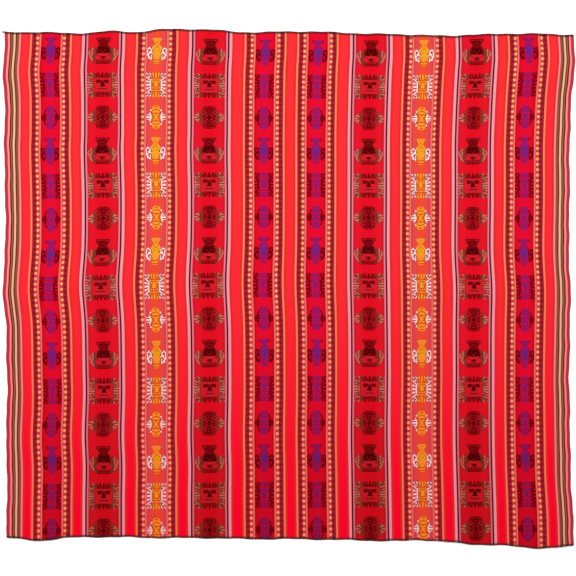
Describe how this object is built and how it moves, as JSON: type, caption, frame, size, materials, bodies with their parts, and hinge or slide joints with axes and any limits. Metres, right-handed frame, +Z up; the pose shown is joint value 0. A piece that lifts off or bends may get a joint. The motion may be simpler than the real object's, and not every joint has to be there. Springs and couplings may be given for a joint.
{
  "type": "throw blanket",
  "caption": "Nearly square throw blanket of thin woven cloth with warp stripes and patterned bands, lying flat, its cut ends bound by overlock stitching.",
  "frame": {"origin": "middle of the blanket's box, on the surface that it lies on", "axes": "+X across the cloth towards its right selvedge, +Y along the warp towards its top edge, +Z up out of the right side"},
  "size_m": [1.2362, 1.1216, 0.0078],
  "materials": {
    "cloth": "matte warp-faced weave, scarlet with multicolour stripes and patterned bands",
    "edge_thread": "matte dark spun overlock thread"
  },
  "bodies": {
    "root": {"woven_cloth": "cloth", "overlock_top": "edge_thread", "overlock_bottom": "edge_thread"}
  },
  "joints": []
}
